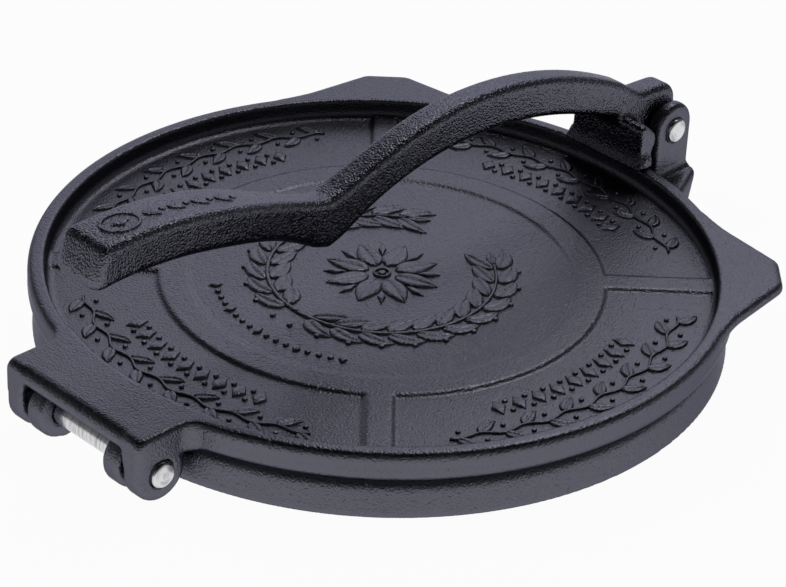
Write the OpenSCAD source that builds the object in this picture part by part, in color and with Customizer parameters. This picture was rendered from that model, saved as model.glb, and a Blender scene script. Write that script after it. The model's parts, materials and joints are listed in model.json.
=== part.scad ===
// Cast-iron tortilla press: base plate, hinged lid, pressing lever and two steel pins.
// Millimetres. X runs from the lid hinge (-X) to the lever pivot (+X), Y across, Z up.
// Every module is drawn about the centre of the plates and standing on Z = 0.
// The if lines at the end slide the finished pieces along X so that the origin
// sits under the middle of the whole press.

/* [Plates] */
// Radius of the base at the bottom of its side wall
base_r = 127; // [118:1:136]
// How far the base's side wall leans in on its way up
base_lean = 2.5; // [0:0.5:5]
// Thickness of the base's press plate
base_plate_t = 6; // [4:0.5:9]
// Height of the base's side wall, from its lower edge to the press face
base_wall_h = 13.7; // [11:0.1:18]
// Width of the base's skirt, the solid ring under its edge
skirt_w = 14; // [8:0.5:22]
// Height of the foot rim that stands under the skirt
foot_h = 2; // [1:0.5:3]
// Width of the foot rim
foot_w = 7; // [4:0.5:10]
// Height of the stiffening ribs under the plate
rib_h = 3; // [1.5:0.5:3.5]
// Width of a stiffening rib
rib_w = 5; // [3:0.5:8]
// Number of radial ribs
rib_count = 8; // [4:1:12]
// Gap between the two press faces when the lid is shut
press_gap = 0.4; // [0.3:0.1:1]
// How far the lid's lower edge stands out past the base
lid_overhang = 2.4; // [0.5:0.1:4]
// How far the lid's side wall leans in on its way up
lid_lean = 1; // [0:0.1:2]
// Radius of the rounded lower edge of the lid and upper edge of the base
edge_round = 2.5; // [1:0.5:3]
// Full height of the lid's rim
lid_h = 11.8; // [9:0.1:15]
// Width of the flat top of the rim
rim_w = 5.5; // [4:0.5:8]
// Slope width of the rim's inner wall, from its top to the panels
rim_slope = 5; // [3:0.5:8]
// Thickness of the lid at the sunk panels
panel_t = 4.2; // [3:0.1:6]

/* [Relief] */
// Height of the raised ring and bars above the sunk panels
relief_h = 1; // [0.5:0.1:2]
// Outer radius of the raised ring
ring_out_r = 82; // [74:1:95]
// Width of the raised ring
ring_w = 11.4; // [6:0.2:20]
// Depth of the centre disc below the ring
disc_sink = 0.6; // [0.3:0.1:1]
// Width of a radial bar
bar_w = 10; // [5:0.5:16]

/* [Ornament] */
// Height of the cast ornament on the lid
ornament_h = 0.8; // [0.4:0.1:0.9]
// Radius of the boss in the middle of the rosette
boss_r = 3.4; // [2:0.2:5]
// Number of petals of the rosette
petal_count = 8; // [5:1:10]
// Length of a petal
petal_len = 17; // [12:0.5:18]
// Greatest width of a petal
petal_w = 9; // [5:0.5:9.5]
// Distance of the wreath's middle line from the edge of the sunk disc
wreath_in = 28.6; // [26:0.2:30]
// Number of leaves along each side of a branch of the wreath
wreath_count = 11; // [6:1:12]
// Direction of the first leaf of a branch, from the pedestal, in degrees
wreath_from = 172; // [160:1:174]
// Direction of the last leaf of a branch, in degrees
wreath_open = 37; // [30:1:60]
// Length of a leaf of the wreath
wreath_leaf_len = 14.5; // [8:0.5:15.5]
// Greatest width of a leaf of the wreath
wreath_leaf_w = 6.2; // [3:0.2:6.6]
// Turn of a leaf of the wreath away from its stem, in degrees
leaf_turn = 26; // [22:1:40]
// Distance of a leaf's root from the middle line of its row
leaf_gap = 0.8; // [0.5:0.1:1.2]
// Distance of the row of leaves in a panel from the rim's inner edge
row_in = 13.9; // [12:0.1:16]
// Number of leaves in the row
row_count = 15; // [8:1:17]
// Distance from one leaf of the row to the next
row_step = 8.4; // [7.6:0.1:9]
// Turn of a leaf of the row away from its stem, in degrees
row_leaf_turn = 38; // [30:1:50]
// Length of a leaf of the row
row_leaf_len = 9.4; // [6:0.2:10]
// Greatest width of a leaf of the row
row_leaf_w = 4.6; // [3:0.2:5]
// Distance of the row of lozenges in a panel from the raised ring
lozenge_out = 13.5; // [8:0.5:15]
// Number of lozenges in the row
lozenge_count = 9; // [5:1:11]
// Distance from one lozenge to the next
lozenge_step = 8.2; // [7:0.1:9]
// Length of a lozenge
lozenge_len = 8.4; // [5:0.2:9]
// Width of a lozenge
lozenge_w = 5.4; // [3:0.2:6]

/* [Ears] */
// Distance from the plates' centre to the blunt tip of an ear
ear_reach = 146; // [142:1:154]
// Width of the blunt tip, measured where its corners would meet
ear_tip_w = 17; // [16:1:30]
// Width of an ear where it leaves the rim
ear_root_w = 82; // [60:1:96]
// Thickness of an ear
ear_t = 5; // [4:0.5:8]
// Corner radius of the tip
ear_corner_r = 6; // [3:0.5:8]

/* [Hinge] */
// Gap between the lid's cheeks and the base's side wall
cheek_gap = 1.3; // [0.8:0.1:3]
// Height of the hinge pin above the surface
hinge_z = 11.6; // [11.2:0.1:13]
// Diameter of both steel pins
pin_d = 10; // [8:0.5:11]
// Radius of the lid's cheeks and the base's lugs around the hinge pin
knuckle_r = 10.6; // [9:0.1:10.8]
// Width of the hinge box across both cheeks
hinge_w = 70; // [60:1:76]
// Thickness of one cheek
cheek_t = 8.7; // [6:0.1:10]
// Thickness of one base lug
lug_t = 8.5; // [6:0.5:10]
// Side gap between a lug and its cheek
lug_gap = 2; // [0.5:0.5:4]
// Depth of the box's front lip, from the lid's top face down
box_lip_h = 6.3; // [5:0.1:7]
// Radius of the rounded front corners of the box, in plan
box_corner_r = 2.5; // [1:0.5:5]
// Radius of the rounded top front edge of the box
box_edge_r = 4; // [2:0.5:4.5]
// How far the pins stand out past the iron at each end
pin_proud = 2; // [1:0.5:3]
// Height of the chamfer at a pin's end
pin_chamfer = 0.8; // [0.4:0.1:1.5]

/* [Clevis] */
// Distance of the lever pivot beyond the base's edge
pivot_out = 20.5; // [19:0.5:26]
// Height of the lever pivot above the surface
pivot_z = 34.5; // [34:0.5:38]
// Radius of an upright's round top
upright_r = 10; // [8:0.5:11]
// Thickness of one upright
upright_t = 6.5; // [5:0.5:9]
// Side gap between the lever's hub and an upright
hub_gap = 0.4; // [0.3:0.1:1]
// Size of the sloped fillet at an upright's foot
upright_fillet = 3; // [1:0.5:4]
// Half width of the pedestal at its outer end
pedestal_end_w = 17.5; // [16:0.5:22]
// Half width of the pedestal where it leaves the base
pedestal_root_w = 32; // [26:1:40]
// How far the pedestal's end face leans in at its bottom
pedestal_lean = 9; // [0:0.5:10]
// Height of the upright part of the pedestal's end face
pedestal_face_h = 2; // [1:0.5:6]
// Corner radius of the pedestal's outer end
pedestal_corner_r = 5; // [2:0.5:6]

/* [Lever] */
// Width of the lever along its arch and through its hub
lever_w = 12; // [10:0.5:16]
// Width of the grip
grip_w = 22; // [18:0.5:28]
// Length of the grip at its full width
grip_len = 54; // [40:1:60]
// How far the end of the grip lies behind the front of the hinge box
grip_inset = 0.2; // [0.1:0.1:1]
// Thickness of the lever along its arch and grip
lever_t = 15.2; // [13:0.2:18]
// Extra thickness of the lever at its low bend
bend_extra = 4.4; // [0:0.2:6]
// Radius of the grip's curve, and of the arch on its hub side
grip_curve = 162; // [150:1:180]
// Radius of the arch on its grip side
arch_curve = 130; // [120:1:145]
// Height of the grip's middle line above the pivot
grip_rise = 47; // [42:0.5:54]
// Distance of the grip's highest point from its end
grip_top_in = 19; // [12:1:26]
// Height of the arch's middle line above the pivot
arch_rise = 38.5; // [34:0.5:44]
// How far the arch's highest point lies from the middle of the lever, towards the pivot
arch_in = 39; // [33:1:45]
// Rounding of the low bend where the two curves meet
bend_soft = 5; // [2:0.5:8]
// Height of the hub's flat top above the pivot
hub_top = 16.2; // [15.5:0.1:17]
// Radius of the hub around the pivot
hub_r = 10; // [9:0.5:11]
// Rounding of the grip's end
grip_end_r = 4; // [1:0.5:5]
// Length of the cross foot's flange, across the press
foot_len = 39; // [32:1:44]
// Width of the flange
foot_flange_w = 8; // [6:0.5:9]
// Height of the flange
foot_flange_h = 3; // [2:0.5:4]
// Length of the foot's upright bar, across the press
foot_bar_len = 34; // [28:1:40]
// Thickness of the bar
foot_bar_t = 9.6; // [6:0.2:10]
// How far the bar stands behind the flange's front edge
foot_bar_back = 3.4; // [0:0.2:4]
// Height of the foot, flange and bar together
lever_foot_h = 18.4; // [16:0.2:20]
// Gap between the foot and the lid's rim with the lever down
foot_gap = 0.3; // [0.3:0.1:0.6]

/* [Fits] */
// Radial clearance of a pin that turns in its bore
run_gap = 0.05; // [0.02:0.01:0.1]
// Radial clearance of a pin that is driven into its bore
seat_gap = 0.01; // [0.005:0.005:0.02]
// Radial clearance of the hinge box around the base's lugs
knuckle_gap = 0.6; // [0.4:0.1:1]

/* [Hidden] */
$fn = 96;
IRON = "dimgray";
STEEL = "silver";
EPS = 0.01;

pin_r = pin_d / 2;
press_z = foot_h + base_wall_h;
base_top_r = base_r - base_lean;
skirt_in_r = base_r - skirt_w;
foot_mid_r = base_r - skirt_w / 2;
ceiling_z = press_z - base_plate_t;

lid_r = base_r + lid_overhang;
lid_bottom = press_z + press_gap;
lid_top = lid_bottom + lid_h;
panel_z = lid_bottom + panel_t;
relief_z = panel_z + relief_h;
disc_z = relief_z - disc_sink;
rim_out_r = lid_r - lid_lean;
rim_in_r = rim_out_r - rim_w;
wall_fillet = min(rim_slope, lid_top - relief_z - 1);
disc_r = ring_out_r - ring_w;
wreath_r = disc_r - wreath_in;
stem_turn = wreath_leaf_len / (2 * wreath_r) * 180 / PI;
row_r = rim_in_r - row_in;
lozenge_r = ring_out_r + lozenge_out;
bar_count = 4;
bar_turn = 45;
ear_angles = [45, -45];

cheek_in_y = hinge_w / 2 - cheek_t;
lug_out_y = cheek_in_y - lug_gap;
hinge_x = -(sqrt(pow(base_r, 2) - pow(cheek_in_y, 2)) + cheek_gap + knuckle_r);
box_front = hinge_x - knuckle_r;
box_back = -sqrt(pow(rim_in_r, 2) - pow(hinge_w / 2, 2));

pivot_x = base_r + pivot_out;
upright_in_y = lever_w / 2 + hub_gap;
upright_out_y = upright_in_y + upright_t;
pedestal_x = pivot_x + upright_r;

foot_x = rim_in_r - pivot_x;
foot_bottom = lid_top + foot_gap - pivot_z;
bar_x = foot_x + foot_bar_back;
lever_reach = pivot_x - box_front - grip_inset;
grip_at = lever_reach - grip_top_in;
arch_at = lever_reach / 2 - arch_in;
lever_from = -lever_reach;
lever_to = bar_x;
lever_step = 6;
tail_x = 3 * hub_r / 4;
tail_r = 3 * hub_r / 5;
shelf_x = -tail_x - tail_r;
shelf_rise = 1.5;

// The two long curves cross where curve_a * x * x + curve_b * x + curve_c = 0.
curve_a = 1 / (2 * grip_curve) - 1 / (2 * arch_curve);
curve_b = arch_at / arch_curve - grip_at / grip_curve;
curve_c = pow(grip_at, 2) / (2 * grip_curve) - pow(arch_at, 2) / (2 * arch_curve) + arch_rise - grip_rise;
bend_at = 2 * curve_c / (sqrt(pow(curve_b, 2) - 4 * curve_a * curve_c) - curve_b);

// The press reaches from the hinge box to the back of the pedestal or the hub.
far_x = max(pedestal_x, pivot_x + hub_r);
middle_x = (box_front + far_x) / 2;

// ---- outlines ----

function unit(v) = v / norm(v);

// Points of an arc about c from angle a0 to angle a1.
function arc(c, r, a0, a1, n = 8) = [for (i = [0:n]) let (a = a0 + (a1 - a0) * i / n) c + r * [cos(a), sin(a)]];

// The arc that rounds corner b, between neighbours a and c, with radius r.
function corner(a, b, c, r, n = 6) =
    let (u = unit(a - b), v = unit(c - b), half = acos(u * v) / 2)
    let (centre = b + unit(u + v) * r / sin(half), p = b + u * r / tan(half), q = b + v * r / tan(half))
    let (a0 = atan2(p.y - centre.y, p.x - centre.x), a1 = atan2(q.y - centre.y, q.x - centre.x))
    let (turn = a1 - a0 > 180 ? a1 - a0 - 360 : a1 - a0 < -180 ? a1 - a0 + 360 : a1 - a0)
    arc(centre, r, a0, a0 + turn, n);

// An outline whose corners, given as [x, y, radius], are rounded.
function rounded(pts) = let (n = len(pts)) [
    for (i = [0:n - 1])
        let (a = pts[(i + n - 1) % n], b = pts[i], c = pts[(i + 1) % n])
            each (b.z > 0 ? corner([a.x, a.y], [b.x, b.y], [c.x, c.y], b.z) : [[b.x, b.y]])
];

// Draws an X-Z outline and gives it a thickness along Y, from y0 to y1.
module across(y0, y1) {
    translate([0, y1, 0]) rotate([90, 0, 0]) linear_extrude(height = y1 - y0) children();
}

// A round bar or bore along Y at x, z, from -y to y.
module cross_bar(x, z, r, y) {
    translate([x, y, z]) rotate([90, 0, 0]) cylinder(r = r, h = 2 * y);
}

module both_sides() {
    children();
    mirror([0, 1, 0]) children();
}

// ---- base ----

module base_plate() {
    rotate_extrude($fn = 180) polygon(concat(
        [[0, ceiling_z], [skirt_in_r, ceiling_z], [skirt_in_r, foot_h], [base_r, foot_h]],
        arc([base_top_r - edge_round, press_z - edge_round], edge_round, 0, 90),
        [[0, press_z]]
    ));
}

module foot_rim() {
    rotate_extrude($fn = 180) translate([foot_mid_r - foot_w / 2, 0]) square([foot_w, foot_h + EPS]);
}

module ribs() {
    for (i = [0:rib_count - 1]) rotate((i + 0.5) * 360 / rib_count)
        translate([0, -rib_w / 2, ceiling_z - rib_h]) cube([skirt_in_r + EPS, rib_w, rib_h + EPS]);
}

module hinge_lug() {
    across(lug_out_y - lug_t, lug_out_y) {
        translate([hinge_x, hinge_z]) circle(r = knuckle_r);
        translate([hinge_x, foot_h]) square([-foot_mid_r - hinge_x, press_z - foot_h]);
    }
}

module pedestal() {
    intersection() {
        linear_extrude(height = press_z) polygon(rounded([
            [skirt_in_r, -pedestal_root_w, 0],
            [base_top_r, -pedestal_root_w, 0],
            [pedestal_x, -pedestal_end_w, pedestal_corner_r],
            [pedestal_x, pedestal_end_w, pedestal_corner_r],
            [base_top_r, pedestal_root_w, 0],
            [skirt_in_r, pedestal_root_w, 0]
        ]));
        across(-pedestal_root_w, pedestal_root_w) polygon([
            [skirt_in_r, foot_h],
            [pedestal_x - pedestal_lean, foot_h],
            [pedestal_x, press_z - pedestal_face_h],
            [pedestal_x, press_z],
            [skirt_in_r, press_z]
        ]);
    }
}

module upright() {
    across(upright_in_y, upright_out_y) {
        translate([pivot_x, pivot_z]) circle(r = upright_r);
        translate([pivot_x - upright_r, press_z - EPS]) square([2 * upright_r, pivot_z - press_z]);
    }
    translate([pivot_x - upright_r, upright_out_y - EPS, press_z - EPS]) rotate([90, 0, 90])
        linear_extrude(height = 2 * upright_r)
            polygon([[0, 0], [upright_fillet, 0], [0, upright_fillet]]);
}

module base() {
    color(IRON) difference() {
        union() {
            base_plate();
            foot_rim();
            ribs();
            both_sides() hinge_lug();
            pedestal();
            both_sides() upright();
        }
        cross_bar(hinge_x, hinge_z, pin_r + run_gap, hinge_w);
        cross_bar(pivot_x, pivot_z, pin_r + seat_gap, hinge_w);
    }
}

// ---- lid ----

module lid_plate() {
    rotate_extrude($fn = 180) polygon(concat(
        [[0, lid_bottom]],
        arc([lid_r - edge_round, lid_bottom + edge_round], edge_round, -90, 0),
        [[rim_out_r, lid_top - 1], [rim_out_r - 1, lid_top], [rim_in_r, lid_top]],
        arc([rim_in_r - wall_fillet, panel_z + wall_fillet], wall_fillet, 0, -90),
        [[0, panel_z]]
    ));
}

module relief() {
    translate([0, 0, panel_z - EPS]) {
        difference() {
            cylinder(r = ring_out_r, h = relief_h + EPS);
            translate([0, 0, disc_z - panel_z]) cylinder(r = disc_r, h = relief_h);
        }
        for (i = [0:bar_count - 1]) rotate(bar_turn + i * 360 / bar_count)
            translate([disc_r, -bar_w / 2, 0]) cube([rim_in_r - wall_fillet - disc_r + 1, bar_w, relief_h + EPS]);
    }
}

// ---- cast ornament on the lid, in plan ----

// A leaf that points along +X from its root, or a lozenge where its widest place is its middle.
module leaf(length, width, widest) {
    polygon([[0, 0], [widest * length, width / 2], [length, 0], [widest * length, -width / 2]]);
}

module rosette() {
    circle(r = boss_r);
    for (i = [0:petal_count - 1]) rotate((i + 0.5) * 360 / petal_count)
        translate([1.5 * boss_r, 0]) leaf(petal_len, petal_w, 0.4);
}

// Both branches of the wreath, with leaves on both sides.
module wreath() {
    for (hand = [1, -1], side = [1, -1], i = [0:wreath_count - 1])
        rotate(hand * (wreath_from - i * (wreath_from - wreath_open) / (wreath_count - 1)))
            translate([wreath_r + side * leaf_gap, 0]) rotate(hand * (side * leaf_turn - 90 - stem_turn))
                leaf(wreath_leaf_len, wreath_leaf_w, 0.4);
}

// Turn of item i of a row of n items, whose middle lies at 0.
function in_row(i, n, step, radius) = (i - (n - 1) / 2) * step / radius * 180 / PI;

module panel_rows() {
    for (i = [0:row_count - 1]) let (side = i % 2 == 0 ? 1 : -1)
        rotate(in_row(i, row_count, row_step, row_r))
            translate([row_r + side * leaf_gap, 0]) rotate(90 - side * row_leaf_turn)
                leaf(row_leaf_len, row_leaf_w, 0.4);
    for (i = [0:lozenge_count - 1]) rotate(in_row(i, lozenge_count, lozenge_step, lozenge_r))
        translate([lozenge_r - lozenge_len / 2, 0]) leaf(lozenge_len, lozenge_w, 0.5);
}

module ornament() {
    translate([0, 0, disc_z - EPS]) linear_extrude(height = ornament_h + EPS) {
        rosette();
        wreath();
    }
    translate([0, 0, panel_z - EPS]) linear_extrude(height = ornament_h + EPS)
        for (i = [0:bar_count - 1]) rotate(bar_turn + (i + 0.5) * 360 / bar_count) panel_rows();
}

// Cuts away what would stand inside the rim.
module past_rim() {
    difference() {
        children();
        cylinder(r = rim_in_r + 1, h = lid_top + 1, $fn = 180);
    }
}

module ear() {
    root_x = sqrt(pow(rim_out_r - 1, 2) - pow(ear_root_w / 2, 2));
    translate([0, 0, lid_top - ear_t]) linear_extrude(height = ear_t) polygon(rounded([
        [root_x, -ear_root_w / 2, 0],
        [ear_reach, -ear_tip_w / 2, ear_corner_r],
        [ear_reach, ear_tip_w / 2, ear_corner_r],
        [root_x, ear_root_w / 2, 0]
    ]));
}

// Side view of the hinge box: front lip, rounded top edge, and down to the floor of its cheeks.
module box_side(low) {
    polygon(rounded([
        [box_front, low, 0],
        [box_front, lid_top, box_edge_r],
        [box_back, lid_top, 0],
        [box_back, low, 0]
    ]));
}

module hinge_box() {
    difference() {
        intersection() {
            union() {
                across(-hinge_w / 2, hinge_w / 2) box_side(lid_bottom);
                both_sides() across(cheek_in_y, hinge_w / 2) {
                    translate([hinge_x, hinge_z]) circle(r = knuckle_r);
                    intersection() {
                        box_side(hinge_z);
                        translate([box_front, hinge_z]) square([2 * knuckle_r, lid_top]);
                    }
                }
            }
            linear_extrude(height = lid_top + 1) polygon(rounded([
                [0, -hinge_w / 2, 0],
                [box_front, -hinge_w / 2, box_corner_r],
                [box_front, hinge_w / 2, box_corner_r],
                [0, hinge_w / 2, 0]
            ]));
        }
        translate([box_front - 1, -cheek_in_y, 0])
            cube([hinge_x - box_front + 1, 2 * cheek_in_y, lid_top - box_lip_h]);
    }
}

module lid() {
    color(IRON) difference() {
        union() {
            lid_plate();
            relief();
            ornament();
            past_rim() {
                for (a = ear_angles) rotate(a) ear();
                hinge_box();
            }
        }
        cross_bar(hinge_x, hinge_z, knuckle_r + knuckle_gap, cheek_in_y);
        cross_bar(hinge_x, hinge_z, pin_r + seat_gap, hinge_w);
    }
}

// ---- lever, drawn about its pivot ----

// Height of a long curve at x, and of both curves together with the bend between them softened.
function hump(x, top_x, top_z, curve) = top_z - pow(x + top_x, 2) / (2 * curve);
function lever_mid(x) =
    let (a = hump(x, grip_at, grip_rise, grip_curve))
    let (b = hump(x, arch_at, arch_rise, x < -arch_at ? arch_curve : grip_curve))
    (a + b + sqrt(pow(a - b, 2) + pow(bend_soft, 2))) / 2;
function lever_half_t(x) = (lever_t + bend_extra * exp(-pow((x + bend_at) / 16, 2))) / 2;
function lever_half_w(x) =
    let (u = (x + lever_reach - grip_len) / (lever_reach - grip_len - bend_at - 8))
    u <= 0 ? grip_w / 2 : u >= 1 ? lever_w / 2 :
    lever_w / 2 + (grip_w - lever_w) / 2 * (1 + cos(180 * u)) / 2;

stations = [for (i = [0:floor((lever_to - lever_from) / lever_step)]) lever_from + i * lever_step];

// An outline along the stations, from its upper line to its lower one, with the grip's end rounded.
function along(upper, after, lower) =
    let (n = len(stations) - 1, a = upper[0], b = lower[0])
    concat(
        corner(b, a, upper[1], grip_end_r),
        [for (i = [2:n]) upper[i]],
        after,
        [for (i = [n:-1:2]) lower[i]],
        corner(lower[1], b, a, grip_end_r)
    );

module lever_side() {
    polygon(along(
        [for (x = stations) [x, lever_mid(x) + lever_half_t(x)]],
        concat(
            [[shelf_x, hub_top + shelf_rise]],
            corner([shelf_x, hub_top + shelf_rise], [tail_x, hub_top], [tail_x, 0], tail_r),
            [[tail_x, 0], [0, -hub_r / 2], [bar_x, 0]]
        ),
        [for (x = stations) [x, lever_mid(x) - lever_half_t(x)]]
    ));
    circle(r = hub_r);
}

module lever_plan() {
    polygon(along(
        [for (x = stations) [x, lever_half_w(x)]],
        [[hub_r + 1, lever_w / 2], [hub_r + 1, -lever_w / 2]],
        [for (x = stations) [x, -lever_half_w(x)]]
    ));
}

// The foot: a low flange that presses on the lid's rim, and an upright bar that joins it to the lever.
module cross_foot() {
    flange_r = foot_flange_h / 3;
    across(-foot_len / 2, foot_len / 2) translate([foot_x, foot_bottom]) polygon(rounded([
        [-foot_flange_w / 2, 0, flange_r],
        [-foot_flange_w / 2, foot_flange_h, flange_r],
        [foot_flange_w / 2, foot_flange_h, flange_r],
        [foot_flange_w / 2, 0, flange_r]
    ]));
    across(-foot_bar_len / 2, foot_bar_len / 2) translate([bar_x, foot_bottom]) polygon(rounded([
        [-foot_bar_t / 2, flange_r, 0],
        [-foot_bar_t / 2, lever_foot_h, foot_bar_t / 4],
        [foot_bar_t / 2, lever_foot_h, foot_bar_t / 2],
        [foot_bar_t / 2, lever_foot_h / 3, foot_bar_t / 4],
        [0, flange_r, 0]
    ]));
}

module lever() {
    color(IRON) translate([pivot_x, 0, pivot_z]) difference() {
        union() {
            intersection() {
                across(-grip_w, grip_w) lever_side();
                translate([0, 0, -lever_reach]) linear_extrude(height = 2 * lever_reach) lever_plan();
            }
            cross_foot();
        }
        cross_bar(0, 0, pin_r + run_gap, grip_w);
    }
}

// ---- pins ----

// A pin along Y with chamfered ends, half_len from its middle to each end.
module pin(half_len) {
    rotate([90, 0, 0]) rotate_extrude() polygon([
        [0, -half_len], [pin_r - pin_chamfer, -half_len], [pin_r, -half_len + pin_chamfer],
        [pin_r, half_len - pin_chamfer], [pin_r - pin_chamfer, half_len], [0, half_len]
    ]);
}

module hinge_pin() {
    color(STEEL) translate([hinge_x, 0, hinge_z]) pin(hinge_w / 2 + pin_proud);
}

module pivot_pin() {
    color(STEEL) translate([pivot_x, 0, pivot_z]) pin(upright_out_y + pin_proud);
}

translate([-middle_x, 0, 0]) base();
translate([-middle_x, 0, 0]) lid();
translate([-middle_x, 0, 0]) lever();
translate([-middle_x, 0, 0]) hinge_pin();
translate([-middle_x, 0, 0]) pivot_pin();
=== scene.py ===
"""Cast-iron tortilla press: castings, their cast ornament, the pins, the finishes and the studio.

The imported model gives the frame. Castings are worked out as distance fields in millimetres, about
the centre of the plates or the lever's pivot, with the fillets and rounded edges that sand casting
leaves, and are then turned into meshes. Every mesh goes to Blender in metres, in that frame.
"""

from __future__ import annotations

import json
import logging
import math
from dataclasses import dataclass
from enum import Enum
from typing import Any, Callable, Sequence

import bpy
import numpy as np
from mathutils import Matrix, Vector

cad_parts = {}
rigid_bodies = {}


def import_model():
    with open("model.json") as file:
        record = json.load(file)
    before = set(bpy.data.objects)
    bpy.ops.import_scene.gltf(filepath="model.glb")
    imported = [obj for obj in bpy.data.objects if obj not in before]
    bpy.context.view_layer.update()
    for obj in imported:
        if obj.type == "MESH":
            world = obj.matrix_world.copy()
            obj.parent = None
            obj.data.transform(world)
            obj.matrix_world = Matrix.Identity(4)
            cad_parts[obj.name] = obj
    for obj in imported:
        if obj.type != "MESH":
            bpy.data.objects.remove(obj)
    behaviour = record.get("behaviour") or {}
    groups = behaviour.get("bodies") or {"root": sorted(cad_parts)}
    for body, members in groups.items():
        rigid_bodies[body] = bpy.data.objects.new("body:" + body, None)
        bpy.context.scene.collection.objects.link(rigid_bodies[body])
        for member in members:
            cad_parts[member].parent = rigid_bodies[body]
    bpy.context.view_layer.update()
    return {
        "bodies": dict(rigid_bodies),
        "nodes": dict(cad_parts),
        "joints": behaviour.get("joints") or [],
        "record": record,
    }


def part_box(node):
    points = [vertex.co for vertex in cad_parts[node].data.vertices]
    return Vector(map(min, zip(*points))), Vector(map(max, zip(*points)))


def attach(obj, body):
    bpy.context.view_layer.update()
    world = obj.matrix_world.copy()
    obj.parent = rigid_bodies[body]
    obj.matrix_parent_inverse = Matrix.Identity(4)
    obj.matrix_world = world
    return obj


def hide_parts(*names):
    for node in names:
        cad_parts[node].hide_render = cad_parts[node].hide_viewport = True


LOG = logging.getLogger("tortilla_press")

# Metres in a millimetre. Sizes are in millimetres, apart from those of the floor and the lamps.
MM = 0.001
# A distance larger than any on the press.
FAR = 1e3
# Radius of both steel pins and of the bores that hold them, and the soft edge of a bore.
PIN_R, BORE_EDGE_R = 5.0, 0.5
# Distance of the lever pivot from the centre of the plates.
PIVOT_FROM_PLATES = 147.5
# Half widths at which strokes of the ornament end, so that no face shrinks to a line.
BEAD_END, LOZENGE_END, LEAF_END = 0.12, 0.15, 0.14

Field = np.ndarray
Point = tuple[float, float]
# The place of an outline's corner and the radius that rounds it.
Corner = tuple[float, float, float]
Colour = tuple[float, float, float]
Material = bpy.types.Material
Socket = bpy.types.NodeSocket
# The socket or the value that goes into each input of a node, by name or number.
Inputs = dict[str | int, Any]


# ---------------------------------------------------------------- distance fields


def meet(a: Field, b: Field, radius: float = 0.0) -> Field:
    """Gives what two shapes share, with the edge where they meet rounded.

    Args:
        a: Distance field of the first shape, negative inside.
        b: Distance field of the second shape.
        radius: Radius of the rounded edge, in millimetres.

    Returns:
        The distance field of the shared shape.
    """
    if radius <= 0:
        return np.maximum(a, b)
    outside = np.hypot(np.maximum(radius + a, 0), np.maximum(radius + b, 0))
    return np.minimum(-radius, np.maximum(a, b)) + outside


def join(a: Field, b: Field, radius: float = 0.0) -> Field:
    """Adds two shapes together, with a fillet in the inner corner between them.

    Args:
        a: Distance field of the first shape, negative inside.
        b: Distance field of the second shape.
        radius: Radius of the fillet, in millimetres.

    Returns:
        The distance field of both shapes together.
    """
    return -meet(-a, -b, radius)


def cut(a: Field, b: Field, radius: float = 0.0) -> Field:
    """Takes shape b out of shape a, with the edge of the cut rounded to the radius."""
    return meet(a, -b, radius)


def soft_step(depth: Field, width: float = 2.0) -> Field:
    """Rises from 0 to 1 over the given width as the depth inside an edge passes zero."""
    t = np.clip(depth / width + 0.5, 0, 1)
    return t * t * (3 - 2 * t)


def outline_distance(u: Field, v: Field, outline: Sequence[Point]) -> Field:
    """Works out how far points lie from a closed outline.

    Args:
        u: First coordinate of the points.
        v: Second coordinate of the points.
        outline: Corners of the outline, in order either way round.

    Returns:
        The distance, negative inside the outline.
    """
    u, v = np.broadcast_arrays(u, v)
    nearest = np.full(u.shape, 1e9, np.float32)
    inside = np.zeros(u.shape, bool)
    before = outline[-1]
    for here in outline:
        eu, ev = before[0] - here[0], before[1] - here[1]
        length = eu * eu + ev * ev
        if length > 0:
            du, dv = u - here[0], v - here[1]
            t = np.clip((du * eu + dv * ev) / length, 0, 1)
            nearest = np.minimum(nearest, (du - eu * t) ** 2 + (dv - ev * t) ** 2)
            above, below = v >= here[1], v < before[1]
            left = eu * dv > ev * du
            inside ^= (above & below & left) | (~above & ~below & ~left)
        before = here
    return (np.where(inside, -1, 1) * np.sqrt(nearest)).astype(np.float32)


def turned_axes(x: Field, y: Field, degrees: float) -> tuple[Field, Field]:
    """Gives the plan distances along and across a direction turned from +X."""
    turn = math.radians(degrees)
    return x * math.cos(turn) + y * math.sin(turn), y * math.cos(turn) - x * math.sin(turn)


def rounded_outline(corners: Sequence[Corner], steps: int = 6) -> list[Point]:
    """Rounds the corners of an outline.

    Args:
        corners: Each corner's place and the radius that rounds it, or 0.
        steps: How many short lines make each rounded corner.

    Returns:
        The points of the rounded outline.
    """
    points: list[Point] = []
    count = len(corners)
    for i, (x, y, radius) in enumerate(corners):
        if radius <= 0:
            points.append((x, y))
            continue
        here = Vector((x, y))
        u = (Vector(corners[i - 1][:2]) - here).normalized()
        v = (Vector(corners[(i + 1) % count][:2]) - here).normalized()
        half = math.acos(max(-1.0, min(1.0, u.dot(v)))) / 2
        centre = here + (u + v).normalized() * radius / math.sin(half)
        start = here + u * radius / math.tan(half) - centre
        end = here + v * radius / math.tan(half) - centre
        a0, a1 = math.atan2(start.y, start.x), math.atan2(end.y, end.x)
        turn = (a1 - a0 + math.pi) % (2 * math.pi) - math.pi
        for k in range(steps + 1):
            a = a0 + turn * k / steps
            points.append((centre.x + radius * math.cos(a), centre.y + radius * math.sin(a)))
    return points


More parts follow.
